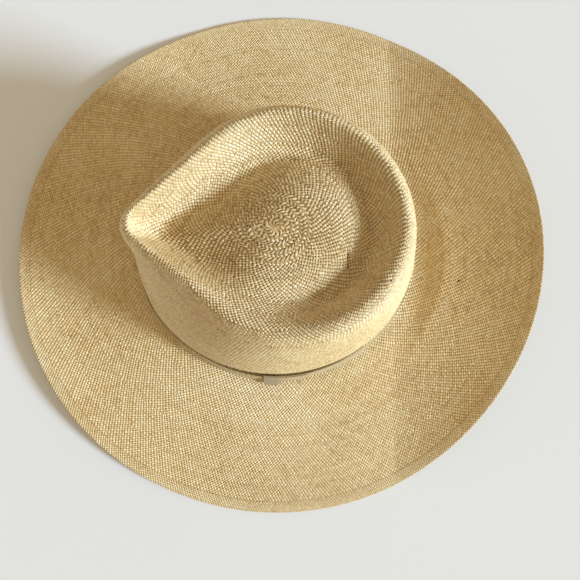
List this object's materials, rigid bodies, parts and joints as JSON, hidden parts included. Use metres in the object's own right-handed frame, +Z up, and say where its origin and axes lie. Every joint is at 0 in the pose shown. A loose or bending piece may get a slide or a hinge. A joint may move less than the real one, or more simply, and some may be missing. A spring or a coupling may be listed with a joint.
{
  "type": "fedora hat",
  "caption": "Wide-brimmed fedora hat of woven straw with a teardrop crown, a loose ribbon hatband with a keeper loop, and a leather sweatband inside.",
  "frame": {"origin": "centre of the hat's outline at the height of the surface that it rests on", "axes": "+Z up, +Y towards the back of the hat, +X towards the wearer's left"},
  "size_m": [0.3764, 0.3788, 0.1225],
  "materials": {
    "straw": "woven natural straw",
    "straw_edge": "dense back-woven straw",
    "ribbon": "ribbed cream ribbon",
    "keeper": "ribbed ribbon, a shade darker",
    "leather": "tan leather, soft sheen",
    "reed": "extruded plastic",
    "welt": "folded cotton tape",
    "thread": "waxed thread",
    "seam_tape": "skived leather",
    "tab": "blank woven tab"
  },
  "bodies": {
    "hat": {"crown": "straw", "brim": "straw", "brim_edge": "straw_edge", "sweatband": "leather", "sweatband_reed": "reed", "sweatband_welt": "welt", "sweatband_thread": "thread", "sweatband_seam_tape": "seam_tape", "size_tab": "tab"},
    "hatband": {"hatband_ribbon": "ribbon", "hatband_keeper": "keeper"}
  },
  "joints": [
    {"name": "hatband_lift", "type": "slide", "parent": "hat", "child": "hatband", "axis": [0, 0, 1], "range_m": [0, 0.125]}
  ]
}
